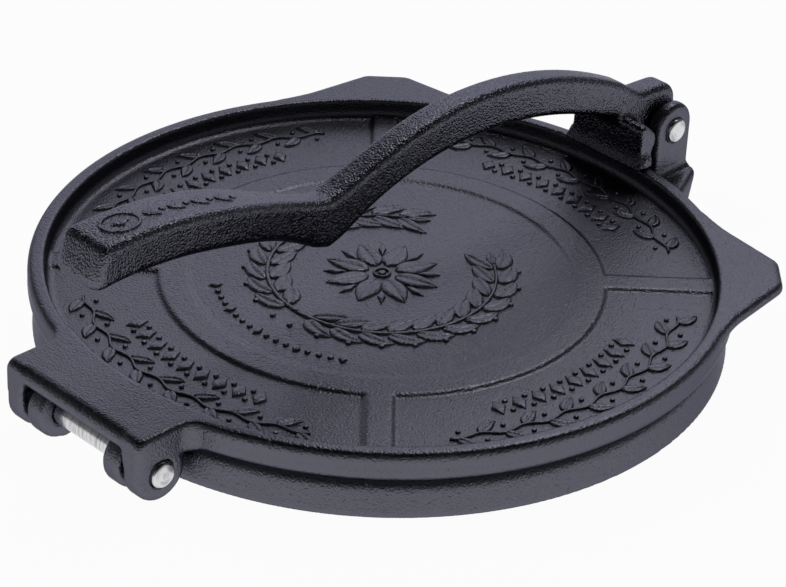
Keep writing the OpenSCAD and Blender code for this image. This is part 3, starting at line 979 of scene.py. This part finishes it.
@dataclass
class Lever:
    """The lever: a grip with a rounded end, a long arch, the hub on its pivot and the cross foot."""

    setting: Setting
    width: float = 12.0
    grip_w: float = 22.0
    grip_len: float = 54.0
    reach: float = 294.0
    thickness: float = 15.3
    arch_extra: float = 0.9
    arch_from: float = 12.0
    arch_soft: float = 6.0
    bend_extra: float = 4.4
    bend_at: float = 179.5
    bend_soft: float = 5.0
    bend_half: float = 16.0
    neck: float = 8.0
    grip_curve: float = 162.0
    arch_curve: float = 130.0
    grip_rise: float = 46.4
    grip_at: float = 275.0
    arch_rise: float = 38.7
    arch_at: float = 108.0
    highest: float = 56.0
    station_step: float = 6.0
    end_r: float = 3.6
    end_top_r: float = 4.2
    end_side_r: float = 7.0
    end_lean: float = 7.0
    edge_r: float = 3.2
    hub_top: float = 16.2
    hub_r: float = 10.0
    hub_fillet: float = 1.0
    hub_lap: float = 4.0
    crown: Corner = (-13.5, 17.7, 3.0)
    tail_x: float = 7.5
    tail_r: float = 7.5
    belly_z: float = -5.0
    foot_x: float = -24.6
    foot_z: float = -6.3
    flange_half: float = 19.5
    flange_edge_r: float = 1.2
    bar_x: float = -21.8
    bar_half: float = 17.8
    bar_edge_r: float = 1.6
    foot_fillet: float = 3.0
    foot_flat: float = 6.0
    pitch: float = 0.7
    # Sections of the foot's bar and flange, as corners along the lever and above the foot's face.
    bar: tuple[Corner, ...] = (
        (-3.3, 0.3, 0), (-4.8, 5.4, 3), (-4.6, 17.5, 2), (-0.6, 17.5, 2.5),
        (4.2, 12.8, 3.5), (4.8, 9.6, 2.5), (2.4, 4, 3), (0.8, 0.3, 0),
    )
    flange: tuple[Corner, ...] = ((-4, 0, 0), (-4, 1, 0.8), (0, 4.5, 1.5), (4, 3, 1.5), (4, 0, 0))

    def middle(self, x: float) -> float:
        """Gives the height of the lever's middle line.

        Args:
            x: Place along the lever, from the pivot.

        Returns:
            The height over the pivot.
        """
        grip = self.grip_rise - (x + self.grip_at) ** 2 / (2 * self.grip_curve)
        curve = self.arch_curve if x < -self.arch_at else self.grip_curve
        arch = self.arch_rise - (x + self.arch_at) ** 2 / (2 * curve)
        return (grip + arch + math.hypot(grip - arch, self.bend_soft)) / 2

    def half_t(self, x: float) -> float:
        """Gives half the lever's thickness, which swells at the bend.

        Args:
            x: Place along the lever, from the pivot.

        Returns:
            Half the thickness.
        """
        arch = 1 / (1 + math.exp(-(x + self.bend_at - self.arch_from) / self.arch_soft))
        swell = self.bend_extra * math.exp(-(((x + self.bend_at) / self.bend_half) ** 2))
        return (self.thickness + self.arch_extra * arch + swell) / 2

    def half_w(self, x: float) -> float:
        """Gives half the lever's width, which narrows from the grip into the arch.

        Args:
            x: Place along the lever, from the pivot.

        Returns:
            Half the width.
        """
        wide, narrow, start = self.grip_w / 2, self.width / 2, self.reach - self.grip_len
        share = min(1.0, max(0.0, (x + start) / (start - self.bend_at - self.neck)))
        return narrow + (wide - narrow) * (1 + math.cos(math.pi * share)) / 2

    def top(self, x: float) -> float:
        """Gives the height of the lever's upper face at x, above the pivot."""
        return self.middle(x) + self.half_t(x)

    def outline(
        self, upper: Callable, after: Sequence[Corner], lower: Callable, lean: float = 0.0
    ) -> list[Point]:
        """Draws an outline along the lever, with its grip end rounded.

        Args:
            upper: Gives the upper line at x.
            after: Corners that follow at the hub's end.
            lower: Gives the lower line at x.
            lean: How far the end's upper corner stands back from the lower one.

        Returns:
            The outline's points.
        """
        stations = np.arange(-self.reach, self.bar_x, self.station_step)
        end = -self.reach
        low_r, high_r = (self.end_r, self.end_top_r) if lean else (self.end_side_r, self.end_side_r)
        corners = [(end, lower(end), low_r), (end + lean, upper(end + lean), high_r)]
        above = [(x, upper(x), 0) for x in stations[2:]]
        below = [(x, lower(x), 0) for x in stations[:1:-1]]
        return rounded_outline([*corners, *above, *after, *below])

    def beam(self, block: Block) -> Field:
        """Gives the grip, the arch and the hub.

        Args:
            block: The block in which the shape is worked out.

        Returns:
            Its distance field.
        """
        hub = [
            self.crown, (self.tail_x, self.hub_top, self.tail_r), (self.tail_x, 0, 0),
            (0, self.belly_z, 0), (self.bar_x, 0, 0),
        ]
        side = outline_distance(block.x, block.z, self.outline(
            self.top, hub, lambda at: self.middle(at) - self.half_t(at), self.end_lean
        ))
        side = join(side, block.bar(0, 0, self.hub_r), self.hub_fillet)
        past = self.hub_r + self.hub_lap
        ends = [(past, self.width / 2, 0), (past, -self.width / 2, 0)]
        plan = outline_distance(block.x, block.y, self.outline(
            self.half_w, ends, lambda at: -self.half_w(at)
        ))
        return meet(side, plan, self.edge_r)

    def foot(self, block: Block) -> Field:
        """Gives the upright bar under the lever and the flange that presses on the rim.

        Args:
            block: The block in which the shape is worked out.

        Returns:
            Its distance field.
        """
        bar = block.profile(self.bar, self.bar_x, self.foot_z)
        bar = meet(bar, np.abs(block.y) - self.bar_half, self.bar_edge_r)
        flange = block.profile(self.flange, self.foot_x, self.foot_z)
        flange = meet(flange, np.abs(block.y) - self.flange_half, self.flange_edge_r)
        return np.maximum(join(bar, flange, self.foot_fillet), self.foot_z - block.z)

    def build(self, finish: Material) -> None:
        """Casts the lever about its pivot and dresses it. Nothing near the foot hangs below its face.

        Args:
            finish: The material that it is dressed in.
        """
        s = self.setting
        low = (-self.reach, -self.flange_half, -self.hub_r)
        block = Block(low, (self.hub_r, self.flange_half, self.highest), self.pitch)
        shape = join(self.beam(block), self.foot(block), self.foot_fillet)
        floor = np.where(block.x < self.bar_x + self.foot_flat, self.foot_z - block.z, -FAR)
        shape = cut(np.maximum(shape, floor), block.bar(0, 0, PIN_R), BORE_EDGE_R)
        points, faces = block.mesh(shape)
        piece = mesh_object("lever_casting", s.place(points + [s.pivot_x, 0, s.pivot_z]), faces)
        fit(piece, "lever", finish, "lever")


# ---------------------------------------------------------------- cast ornament


class Section(Enum):
    """Half sections of raised ornament: share of the half width, and share of the height."""

    BEAD = ((1.06, -0.3), (1.0, 0.3), (0.86, 0.68), (0.58, 0.93), (0.0, 1.0))
    PAD = ((1.08, -0.3), (1.0, 0.45), (0.86, 0.84), (0.66, 1.0), (0.0, 1.0))
    LEAF = ((1.08, -0.3), (0.98, 0.42), (0.82, 0.86), (0.5, 1.0), (0.14, 0.74), (0.0, 0.5))

    def points(self) -> np.ndarray:
        """Gives the whole section, from one side to the other."""
        half = list(self.value)
        return np.array([(-a, h) for a, h in half] + [(a, h) for a, h in half[-2::-1]])


def polar(radius: float, degrees: float) -> Point:
    """Gives the plan place at a radius and an angle about the centre of the plates."""
    a = math.radians(degrees)
    return radius * math.cos(a), radius * math.sin(a)


@dataclass
class Relief:
    """Raised ornament, drawn as strokes in plan and laid on a face of a casting."""

    name: str
    height: float
    lift_rate: float = 1.8
    least_lift: float = 0.12
    bead_flat: float = 0.001
    leaf_belly: float = 0.75
    leaf_fullness: float = 0.85
    leaf_points: int = 12
    ring_points: int = 40

    def __post_init__(self) -> None:
        """Starts with no strokes."""
        self.points: list[np.ndarray] = []
        self.faces: list[tuple[int, ...]] = []

    def stroke(self, path: Field, widths: Field, section: Section, closed: bool = False) -> None:
        """Adds one stroke, which follows a path with a width of its own at each point.

        Args:
            path: The points of its middle line in plan.
            widths: Its half width at each point. It is lower where it is narrow.
            section: The shape across it.
            closed: Whether its end joins its start.
        """
        ahead = np.roll(path, -1, 0) - np.roll(path, 1, 0)
        if not closed:
            ahead[0], ahead[-1] = path[1] - path[0], path[-1] - path[-2]
        ahead /= np.linalg.norm(ahead, axis=1)[:, None]
        side = np.stack([-ahead[:, 1], ahead[:, 0]], 1)
        shape = section.points()
        start = sum(len(p) for p in self.points)
        lift = np.minimum(1.0, widths / max(widths) * self.lift_rate + self.least_lift)
        for here, across, width, rise in zip(path, side, widths, lift):
            plan = here + across * (shape[:, :1] * width)
            level = np.where(shape[:, 1] > 0, shape[:, 1] * rise, shape[:, 1])
            self.points.append(np.column_stack([plan, level * self.height]))
        n, m = len(path), len(shape)
        for i in range(n if closed else n - 1):
            row, after = start + i * m, start + (i + 1) % n * m
            self.faces += [(row + k, row + k + 1, after + k + 1, after + k) for k in range(m - 1)]
        if not closed:
            self.faces.append(tuple(start + k for k in reversed(range(m))))
            self.faces.append(tuple(start + (n - 1) * m + k for k in range(m)))

    def bead(self, centre: Point, width: float) -> None:
        """Adds a round bead, as a stroke along X with a tiny flat in its middle.

        Args:
            centre: Its middle in plan.
            width: Its whole width.
        """
        radius, flat = width / 2, width * self.bead_flat / 2
        ends = radius * np.cos(np.linspace(math.pi, math.pi / 2, 5))
        along = np.concatenate([ends - flat, flat - ends[::-1]])
        half = np.sqrt(radius**2 - np.clip(np.abs(along) - flat, 0, radius) ** 2)
        self.stroke(self.line(centre, 0, along), np.maximum(half, BEAD_END), Section.BEAD)

    def lozenge(self, centre: Point, turn: float, length: float, width: float) -> None:
        """Adds a lozenge.

        Args:
            centre: Its middle in plan.
            turn: Direction of its long axis, in degrees from +X.
            length: Its whole length.
            width: Its whole width.
        """
        along = np.linspace(-0.5, 0.5, 9)
        half = width / 2 * (1 - 2 * np.abs(along))
        path = self.line(centre, turn, along * length)
        self.stroke(path, np.maximum(half, LOZENGE_END), Section.PAD)

    def leaf(self, root: Point, turn: float, length: float, width: float, bend: float = 0.0) -> None:
        """Adds a pointed leaf with a sunk vein.

        Args:
            root: Where it starts in plan.
            turn: Its direction at the root, in degrees from +X.
            length: Its length.
            width: Its greatest width.
            bend: How far it turns from root to tip, in degrees.
        """
        t = np.linspace(0, 1, self.leaf_points)
        heading = np.radians(turn + bend * (t[1:] + t[:-1]) / 2)
        steps = length / (len(t) - 1) * np.stack([np.cos(heading), np.sin(heading)], 1)
        path = np.vstack([[0, 0], np.cumsum(steps, 0)]) + np.asarray(root, float)
        half = width / 2 * np.sin(math.pi * t**self.leaf_belly) ** self.leaf_fullness
        self.stroke(path, np.maximum(half, LEAF_END), Section.LEAF)

    def ring(self, centre: Point, long: float, wide: float, width: float) -> None:
        """Adds an oval ring, with its axes counted to its middle line.

        Args:
            centre: Its middle in plan.
            long: Half its axis along X.
            wide: Half its axis along Y.
            width: The whole width of its stroke.
        """
        a = np.linspace(0, 2 * math.pi, self.ring_points, endpoint=False)
        path = np.stack([long * np.cos(a), wide * np.sin(a)], 1) + centre
        self.stroke(path, np.full(len(a), width / 2), Section.BEAD, closed=True)

    @staticmethod
    def line(centre: Point, turn: float, along: np.ndarray) -> np.ndarray:
        """Gives points along a straight line through centre, turned from +X by degrees."""
        t = math.radians(turn)
        return np.asarray(centre, float) + np.outer(along, [math.cos(t), math.sin(t)])

    def lay(self, setting: Setting, face: Callable, body: str, finish: Material) -> None:
        """Lays the strokes on a face of a casting, as one mesh.

        Args:
            setting: Where the castings stand.
            face: Turns the strokes' points into places about the centre of the plates.
            body: The body that the ornament moves with.
            finish: Its material.
        """
        piece = mesh_object(self.name, setting.place(face(np.vstack(self.points))), self.faces)
        fit(piece, body, finish)


@dataclass
class LidOrnament:
    """The lid's ornament: a wreath round a rosette, and a vine and a row of lozenges in each panel."""

    lid: Lid
    height: float = 0.8
    boss_w: float = 3.2
    boss_ring_r: float = 2.9
    boss_ring_w: float = 1.1
    petals: int = 8
    petal_from: float = 5.1
    petal: Point = (17.0, 9.0)
    ray_r: float = 17.0
    ray: Point = (9.0, 3.0)
    wreath_r: float = 42.0
    wreath_leaves: int = 11
    wreath_from: float = 172.0
    wreath_to: float = 37.0
    wreath_leaf: Point = (15.0, 6.6)
    wreath_stem: Point = (0.9, 0.5)
    stem_past: float = 4.0
    stem_points: int = 60
    leaf_turn: float = 26.0
    leaf_bend: float = 40.0
    leaf_gap: float = 0.8
    berry_out: float = 8.4
    berry_turn: float = 3.0
    berry_w: float = 2.2
    tip_leaf: Point = (9.5, 3.8)
    tip_bend: float = 10.0
    row_r: float = 109.0
    row_count: int = 15
    row_step: float = 8.4
    row_turn: float = 38.0
    row_bend: float = 36.0
    row_leaf: Point = (9.8, 4.9)
    vine_past: Point = (1.5, 2.0)
    vine_wave: float = 1.1
    vine_half: float = 0.55
    vine_points: int = 90
    bud_in: float = 3.4
    bud_turn: float = 0.6
    bud_w: float = 1.9
    lozenge_r: float = 95.5
    lozenge_count: int = 9
    lozenge_step: float = 8.2
    lozenge: Point = (8.6, 5.6)
    twin_apart: float = 6.0
    twin_w: float = 2.1
    beads_r: float = 61.5
    beads_count: int = 17
    beads_step: float = 4.4
    bead_w: float = 2.3
    small_lozenge: Point = (5.2, 3.2)
    small_every: int = 4

    def wreath(self, relief: Relief) -> None:
        """Draws both branches of the wreath, which start at the hinge side and open to the pedestal.

        Args:
            relief: The ornament that takes the strokes.
        """
        length, width = self.wreath_leaf
        end = self.wreath_to - self.stem_past
        for hand in (1, -1):
            turns = np.linspace(180, end, self.stem_points)
            stem = np.array([polar(self.wreath_r, hand * a) for a in turns])
            relief.stroke(stem, np.linspace(*self.wreath_stem, self.stem_points), Section.BEAD)
            for a in np.linspace(self.wreath_from, self.wreath_to, self.wreath_leaves):
                for side in (1, -1):
                    lean = hand * side
                    root = polar(self.wreath_r + side * self.leaf_gap, hand * a)
                    turn = hand * (a - 90) + lean * (self.leaf_turn + self.leaf_bend / 2)
                    bend = lean * self.leaf_bend + hand * math.degrees(length / self.wreath_r)
                    relief.leaf(root, turn, length, width, -bend)
                berry = polar(self.wreath_r + self.berry_out, hand * (a + self.berry_turn))
                relief.bead(berry, self.berry_w)
            tip = polar(self.wreath_r, hand * end)
            relief.leaf(tip, hand * (end - 90), *self.tip_leaf, hand * self.tip_bend)

    def rosette(self, relief: Relief) -> None:
        """Draws the rosette in the middle of the disc.

        Args:
            relief: The ornament that takes the strokes.
        """
        for i in range(self.petals):
            turn = (i + 0.5) * 360 / self.petals
            relief.leaf(polar(self.petal_from, turn), turn, *self.petal)
            between = turn + 180 / self.petals
            relief.lozenge(polar(self.ray_r, between), between, *self.ray)
        relief.ring((0, 0), self.boss_ring_r, self.boss_ring_r, self.boss_ring_w)
        relief.bead((0, 0), self.boss_w)

    @staticmethod
    def in_row(middle: float, count: int, step: float, radius: float) -> list[float]:
        """Gives the directions of a row of shapes about its middle, in degrees from +X."""
        return [middle + math.degrees((i - (count - 1) / 2) * step / radius) for i in range(count)]

    def vine(self, relief: Relief, middle: float) -> None:
        """Draws the vine of a panel: a waving stem, leaves on both sides by turns, and a bud by each.

        Args:
            relief: The ornament that takes the strokes.
            middle: Direction of the panel's middle, in degrees from +X.
        """
        spots = self.in_row(middle, self.row_count, self.row_step, self.row_r)
        before, after = self.vine_past
        turns = np.linspace(spots[0] - before, spots[-1] + after, self.vine_points)
        wave = self.vine_wave * np.cos(math.pi * (turns - spots[0]) / (spots[1] - spots[0]))
        path = np.array([polar(self.row_r + w, a) for a, w in zip(turns, wave)])
        relief.stroke(path, np.full(self.vine_points, self.vine_half), Section.BEAD)
        for i, a in enumerate(spots):
            side = 1 if i % 2 == 0 else -1
            root = polar(self.row_r + side * self.leaf_gap, a)
            turn = a + 90 - side * (self.row_turn + self.row_bend / 2)
            relief.leaf(root, turn, *self.row_leaf, side * self.row_bend)
            relief.bead(polar(self.row_r - side * self.bud_in, a + self.bud_turn), self.bud_w)

    def lozenges(self, relief: Relief, middle: float) -> None:
        """Draws the inner row of a panel: lozenges, with two beads between each and the next.

        Args:
            relief: The ornament that takes the strokes.
            middle: Direction of the panel's middle, in degrees from +X.
        """
        spots = self.in_row(middle, self.lozenge_count, self.lozenge_step, self.lozenge_r)
        for i, a in enumerate(spots):
            relief.lozenge(polar(self.lozenge_r, a), a, *self.lozenge)
            if i:
                between = (a + spots[i - 1]) / 2
                for side in (-1, 1):
                    twin = polar(self.lozenge_r + side * self.twin_apart / 2, between)
                    relief.bead(twin, self.twin_w)

    def circle(self, relief: Relief) -> None:
        """Draws the row of beads and small lozenges at the hinge side of the disc.

        Args:
            relief: The ornament that takes the strokes.
        """
        spots = self.in_row(180, self.beads_count, self.beads_step, self.beads_r)
        for i, a in enumerate(spots):
            if i % self.small_every == 0:
                relief.lozenge(polar(self.beads_r, a), a, *self.small_lozenge)
            else:
                relief.bead(polar(self.beads_r, a), self.bead_w)

    def build(self, finish: Material) -> None:
        """Casts the ornament on the lid.

        Args:
            finish: The material that it is dressed in.
        """
        lid = self.lid
        centre = Relief("lid_wreath", self.height)
        self.wreath(centre)
        self.rosette(centre)
        self.circle(centre)
        centre.lay(lid.setting, lambda p: p + [0, 0, lid.disc_z], "lid", finish)
        panels = Relief("lid_panel_rows", self.height)
        for middle in (0, 90, 180, 270):
            self.vine(panels, middle)
            self.lozenges(panels, middle)
        panels.lay(lid.setting, lambda p: p + [0, 0, lid.panel_z], "lid", finish)


@dataclass
class GripOrnament:
    """The grip's ornament: an oval with a lozenge, and a row of leaves and beads up to the bend."""

    lever: Lever
    height: float = 0.5
    badge_x: float = -272.0
    badge: Point = (7.4, 5.6)
    badge_w: float = 1.3
    lozenge: Point = (8.0, 4.6)
    row_from: float = -259.0
    row_to: float = -222.0
    row_count: int = 8
    bead_w: float = 2.6
    leaf_back: float = 3.0
    leaf: Point = (6.6, 2.7)
    leaf_turn: float = 14.0
    leaf_bend: float = 38.0

    def face(self, points: np.ndarray) -> np.ndarray:
        """Lays points on the lever's curved upper face.

        Args:
            points: The points in plan, with their heights over the face.

        Returns:
            Their places about the centre of the plates.
        """
        s = self.lever.setting
        top = np.array([self.lever.top(x) for x in points[:, 0]])
        away = np.full(len(points), s.pivot_x)
        return points + np.column_stack([away, np.zeros(len(points)), top + s.pivot_z])

    def build(self, finish: Material) -> None:
        """Casts the ornament on the grip's upper face.

        Args:
            finish: The material that it is dressed in.
        """
        relief = Relief("grip_badge", self.height)
        relief.ring((self.badge_x, 0), *self.badge, self.badge_w)
        relief.lozenge((self.badge_x, 0), 0, *self.lozenge)
        for i, x in enumerate(np.linspace(self.row_from, self.row_to, self.row_count)):
            if i % 2:
                relief.bead((x, 0), self.bead_w)
                continue
            for side in (-1, 1):
                root = (x - self.leaf_back, 0)
                relief.leaf(root, side * self.leaf_turn, *self.leaf, side * self.leaf_bend)
        relief.lay(self.lever.setting, self.face, "lever", finish)


# ---------------------------------------------------------------- turned steel


@dataclass
class Pin:
    """A steel pin along Y, turned in a lathe, with softly domed ends."""

    name: str
    node: str
    body: str
    rounding: float = 1.4
    dome: float = 0.5
    edge_steps: int = 5
    dome_steps: int = 6
    sides: int = 64

    def profile(self, edge: float) -> list[Point]:
        """Gives radius and height of the rings of one half: its side, its rounded edge and its dome.

        Args:
            edge: Height at which the rounded edge ends and the dome starts.

        Returns:
            The rings, from the middle of the pin outwards.
        """
        flat = PIN_R - self.rounding
        rings = [(PIN_R, 0.0), (PIN_R, edge - self.rounding)]
        for a in np.linspace(0, math.pi / 2, self.edge_steps + 1)[1:]:
            rings.append((flat + self.rounding * math.cos(a), edge - self.rounding * (1 - math.sin(a))))
        for share in np.linspace(0, 1, self.dome_steps + 1)[1:-1]:
            rings.append((flat * (1 - share), edge + self.dome * math.sin(math.pi / 2 * share)))
        return rings

    def build(self, finish: Material) -> None:
        """Turns the pin to the length of its node and dresses it.

        Args:
            finish: The material that it is dressed in.
        """
        low, high = (np.array(corner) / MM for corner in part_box(self.node))
        centre, half = (low + high) / 2, (high[1] - low[1]) / 2
        profile = self.profile(half - self.dome)
        rings = [(r, -y) for r, y in reversed(profile)] + profile[1:]
        points, faces = turned_mesh(rings, half, self.sides)
        piece = mesh_object(self.name, (points + centre) * MM, faces)
        fit(piece, self.body, finish, self.node)


def turned_mesh(rings: Sequence[Point], half: float, sides: int) -> tuple[np.ndarray, list]:
    """Turns rings about Y into a closed mesh.

    Args:
        rings: Radius and place along Y of each ring.
        half: Where the two end points lie, from the middle.
        sides: How many sides each ring has.

    Returns:
        The points and the faces.
    """
    turn = np.linspace(0, 2 * math.pi, sides, endpoint=False)
    points = [(r * math.cos(a), y, r * math.sin(a)) for r, y in rings for a in turn]
    faces = []
    for k in range(len(rings) - 1):
        for i in range(sides):
            j = (i + 1) % sides
            faces.append((k * sides + i, (k + 1) * sides + i, (k + 1) * sides + j, k * sides + j))
    points += [(0, -half, 0), (0, half, 0)]
    first, last = len(points) - 2, len(points) - 1
    tail = (len(rings) - 1) * sides
    for i in range(sides):
        j = (i + 1) % sides
        faces.append((first, i, j))
        faces.append((last, tail + j, tail + i))
    return np.array(points), faces


# ---------------------------------------------------------------- studio


@dataclass(frozen=True)
class Lamp:
    """A square lamp that faces the press, with its distance and its size in metres."""

    name: str
    azimuth: float
    elevation: float
    distance: float
    size: float
    power: float
    mirrored: bool

    def build(self) -> None:
        """Hangs the lamp and turns it to the middle of the press."""
        a, e = math.radians(self.azimuth), math.radians(self.elevation)
        away = Vector((math.cos(a) * math.cos(e), math.sin(a) * math.cos(e), math.sin(e)))
        data = bpy.data.lights.new(self.name, "AREA")
        data.shape, data.size, data.energy = "SQUARE", self.size, self.power
        lamp = bpy.data.objects.new(self.name, data)
        lamp.location = away * self.distance
        lamp.rotation_euler = away.to_track_quat("Z", "Y").to_euler()
        lamp.visible_glossy = self.mirrored
        bpy.context.scene.collection.objects.link(lamp)


@dataclass(frozen=True)
class Studio:
    """The white studio: floor, sky, lamps and the camera. The floor and the clip are in metres."""

    floor_size: float = 6.0
    floor_tone: Colour = (0.9, 0.9, 0.9)
    floor_rough: float = 0.9
    floor_glow: float = 0.96
    dim: float = 0.006
    glow: float = 0.16
    bright: float = 1.58
    bright_levels: Point = (0.78, 0.995)
    glow_levels: Point = (0.35, 0.78)
    bright_turn: float = 46.0
    bright_rise: float = 10.0
    sky_tint: Colour = (0.985, 0.99, 1.0)
    lamps: tuple[Lamp, ...] = (
        Lamp("key_lamp", 112, 48, 1.7, 0.45, 6.0, False),
        Lamp("rim_lamp", 20, 58, 1.9, 0.8, 6.0, True),
    )
    focal: float = 137.4
    sensor: float = 36.0
    clip: Point = (0.05, 20.0)
    azimuth: float = -46.0
    elevation: float = 31.14
    roll: float = 2.785
    distance: float = 1108.38
    shift: Point = (4.84, 8.60)
    floor_to_plates: float = 2.0

    def build(self, setting: Setting) -> None:
        """Builds the studio round the press.

        Args:
            setting: Where the castings stand.
        """
        self.world()
        self.floor()
        for lamp in self.lamps:
            lamp.build()
        self.camera(setting)
        bpy.context.scene.view_settings.view_transform = "Standard"

    def world(self) -> None:
        """Makes the sky: a bright backdrop behind the press, dim elsewhere, and white for the camera."""
        world = bpy.data.worlds.new("sky")
        bpy.context.scene.world = world
        graph = Graph(world)
        turn, rise = math.radians(self.bright_turn), math.radians(self.bright_rise)
        toward = (math.cos(turn) * math.cos(rise), math.sin(turn) * math.cos(rise), math.sin(rise))
        ray = graph.add("TexCoord").outputs["Generated"]
        facing = graph.add("VectorMath", {0: ray, 1: toward}, operation="DOT_PRODUCT").outputs["Value"]
        height = graph.add("SeparateXYZ", {"Vector": ray}).outputs["Z"]
        backdrop = graph.span(facing, self.bright_levels, (self.dim, self.bright), "SMOOTHSTEP")
        glow = graph.span(height, self.glow_levels, (self.glow, 0.0), "SMOOTHSTEP")
        level = graph.add("Math", {0: backdrop, 1: glow}, operation="ADD").outputs["Value"]
        sky = graph.nodes["Background"]
        graph.feed(sky, {"Strength": level, "Color": shaded(self.sky_tint)})
        white = graph.add("Background", {"Strength": 1.0, "Color": (1, 1, 1, 1)})
        seen = graph.add("LightPath").outputs["Is Camera Ray"]
        both = {"Fac": seen, 1: sky.outputs["Background"], 2: white.outputs["Background"]}
        mix = graph.add("MixShader", both)
        graph.feed(graph.nodes["World Output"], {"Surface": mix.outputs["Shader"]})

    def floor(self) -> None:
        """Lays the floor, which glows white for the camera and in reflections."""
        half = self.floor_size / 2
        corners = [(-half, -half, 0), (half, -half, 0), (half, half, 0), (-half, half, 0)]
        floor = mesh_object("floor", corners, [(0, 1, 2, 3)])
        material = bpy.data.materials.new("white_floor")
        graph = Graph(material)
        paint = graph.nodes["Principled BSDF"]
        graph.feed(paint, {"Base Color": shaded(self.floor_tone), "Roughness": self.floor_rough})
        glow = graph.add("Emission", {"Strength": 1.0})
        ray = graph.add("LightPath").outputs
        seen = graph.add("Math", {0: ray["Is Camera Ray"], 1: self.floor_glow}, operation="MULTIPLY")
        either = {0: seen.outputs["Value"], 1: ray["Is Glossy Ray"]}
        share = graph.add("Math", either, operation="MAXIMUM").outputs["Value"]
        both = {"Fac": share, 1: paint.outputs["BSDF"], 2: glow.outputs["Emission"]}
        mix = graph.add("MixShader", both)
        graph.feed(graph.nodes["Material Output"], {"Surface": mix.outputs["Shader"]})
        floor.data.materials.append(material)

    def camera(self, setting: Setting) -> None:
        """Puts the camera where it looks down on the press past the hinge.

        Args:
            setting: Where the castings stand.
        """
        a, e, roll = (math.radians(v) for v in (self.azimuth, self.elevation, self.roll))
        back = Vector((math.sin(a) * math.cos(e), -math.cos(a) * math.cos(e), math.sin(e)))
        right = Vector((math.cos(a), math.sin(a), 0))
        up = back.cross(right)
        side = right * math.cos(roll) + up * math.sin(roll)
        head = up * math.cos(roll) - right * math.sin(roll)
        place = side * self.shift[0] + head * self.shift[1] + back * self.distance
        place += Vector((setting.plates_x, 0, self.floor_to_plates))
        turned = Matrix((side, head, back)).transposed().to_4x4()
        data = bpy.data.cameras.new("camera")
        data.lens, data.sensor_width = self.focal, self.sensor
        data.clip_start, data.clip_end = self.clip
        camera = bpy.data.objects.new("camera", data)
        camera.matrix_world = Matrix.Translation(place * MM) @ turned
        bpy.context.scene.collection.objects.link(camera)
        bpy.context.scene.camera = camera


def main() -> None:
    """Builds the press and its studio."""
    logging.basicConfig(level=logging.INFO, format="%(message)s")
    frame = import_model()
    setting = Setting.read(frame)
    coarse = SeasonedIron("coarse_iron", Grain.COARSE).material()
    fine = SeasonedIron("fine_iron", Grain.FINE).material()
    steel = BrightSteel().material()
    Base(setting).build(fine)
    lid = Lid(setting)
    lid.build(fine)
    LidOrnament(lid).build(fine)
    lever = Lever(setting)
    lever.build(coarse)
    GripOrnament(lever).build(coarse)
    Pin("hinge_pin_turned", "hinge_pin", "lid").build(steel)
    Pin("pivot_pin_turned", "pivot_pin", "base").build(steel)
    Studio().build(setting)
    bpy.context.view_layer.update()


if __name__ == "__main__":
    main()
